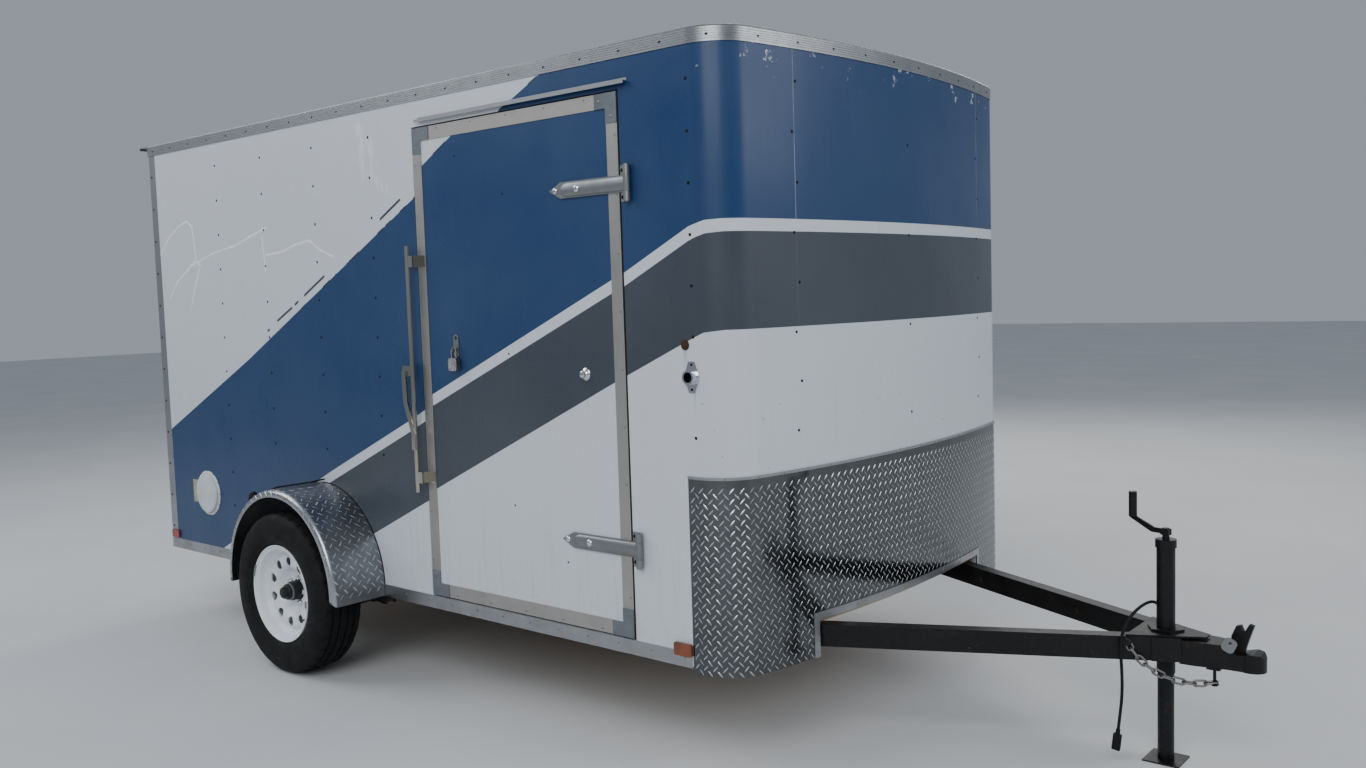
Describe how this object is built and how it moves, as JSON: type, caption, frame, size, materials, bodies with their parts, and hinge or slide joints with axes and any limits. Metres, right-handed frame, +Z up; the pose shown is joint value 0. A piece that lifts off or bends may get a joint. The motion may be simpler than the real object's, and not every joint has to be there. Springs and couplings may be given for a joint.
{
  "type": "enclosed cargo trailer",
  "caption": "Single-axle enclosed cargo trailer with a bowed front, side door, double rear doors, half-round fenders and an A-frame tongue on its jack.",
  "frame": {"origin": "on the ground under the middle of the whole trailer, from coupler tip to rear drip edge", "axes": "+X forwards to the coupler, +Y to the trailer's left, +Z up"},
  "size_m": [5.07, 2.445, 2.384],
  "materials": {
    "box_paint": "gloss paint, white with blue upper part and a grey stripe",
    "roof_skin": "mill sheet",
    "trim_aluminium": "ribbed extrusion",
    "tread_plate": "bright raised diamond pattern",
    "chassis_black": "worn gloss black",
    "galvanised": "zinc plated",
    "chrome": "polished",
    "wheel_white": "white enamel",
    "hub_black": "satin black",
    "tyre_rubber": "matt",
    "deck_wood": "plain plywood",
    "grey_plastic": "moulded",
    "vent_plastic": "moulded",
    "amber_lens": "lens",
    "red_lens": "lens",
    "lead_black": "cable jacket",
    "lock_steel": "laminated, worn"
  },
  "bodies": {
    "root": {"chassis_rails": "chassis_black", "cross_members": "chassis_black", "floor_deck": "deck_wood", "wall_right": "box_paint", "wall_left": "box_paint", "wall_front": "box_paint", "roof": "roof_skin", "rear_frame": "trim_aluminium", "roof_trim": "trim_aluminium", "rear_drip": "trim_aluminium", "bottom_trim": "trim_aluminium", "stone_guard": "tread_plate", "guard_trim": "trim_aluminium", "side_hinge_butts": "galvanised", "holdback_socket": "chrome", "side_door_drip": "trim_aluminium", "rear_hinge_butts": "galvanised", "axle": "chassis_black", "leaf_springs": "chassis_black", "fender_left": "tread_plate", "fender_right": "tread_plate", "tongue_rails": "chassis_black", "tongue_plate": "chassis_black", "coupler": "chassis_black", "coupler_latch": "chassis_black", "jack_tube": "chassis_black", "jack_crank": "chassis_black", "side_vents": "vent_plastic", "amber_markers": "amber_lens", "red_markers": "red_lens", "fender_lamps": "amber_lens", "tail_lamps": "red_lens", "wiring_lead": "lead_black", "lead_plug": "lead_black", "lead_grommet": "lead_black", "safety_chain": "galvanised", "latch_plate": "galvanised"},
    "side_door": {"side_door_panel": "box_paint", "side_door_frame": "trim_aluminium", "side_door_corners": "grey_plastic", "side_door_straps": "galvanised", "side_lock_bar": "galvanised", "side_door_hasp": "galvanised", "padlock": "lock_steel", "holdback_plunger": "chrome"},
    "rear_door_r": {"rear_door_right": "box_paint", "rear_hardware_right": "galvanised"},
    "rear_door_l": {"rear_door_left": "box_paint", "rear_hardware_left": "galvanised"},
    "wheel_r": {"tyre_right": "tyre_rubber", "rim_right": "wheel_white", "hub_right": "hub_black"},
    "wheel_l": {"tyre_left": "tyre_rubber", "rim_left": "wheel_white", "hub_left": "hub_black"},
    "jack_foot": {"jack_leg": "chassis_black"}
  },
  "joints": [
    {"name": "side_door_hinge", "type": "hinge", "parent": "root", "child": "side_door", "pos_m": [0.841, -0.98, 1.3], "axis": [0, 0, 1], "range_deg": [0, 180]},
    {"name": "rear_door_right_hinge", "type": "hinge", "parent": "root", "child": "rear_door_r", "pos_m": [-2.468, -0.904, 1.3], "axis": [0, 0, 1], "range_deg": [0, 180]},
    {"name": "rear_door_left_hinge", "type": "hinge", "parent": "root", "child": "rear_door_l", "pos_m": [-2.468, 0.904, 1.3], "axis": [0, 0, -1], "range_deg": [0, 180]},
    {"name": "wheel_right_spin", "type": "hinge", "parent": "root", "child": "wheel_r", "pos_m": [-1.03, -1.12, 0.344], "axis": [0, 1, 0], "continuous": true},
    {"name": "wheel_left_spin", "type": "hinge", "parent": "root", "child": "wheel_l", "pos_m": [-1.03, 1.12, 0.344], "axis": [0, 1, 0], "continuous": true},
    {"name": "jack_slide", "type": "slide", "parent": "root", "child": "jack_foot", "axis": [0, 0, 1], "range_m": [0, 0.25]}
  ]
}
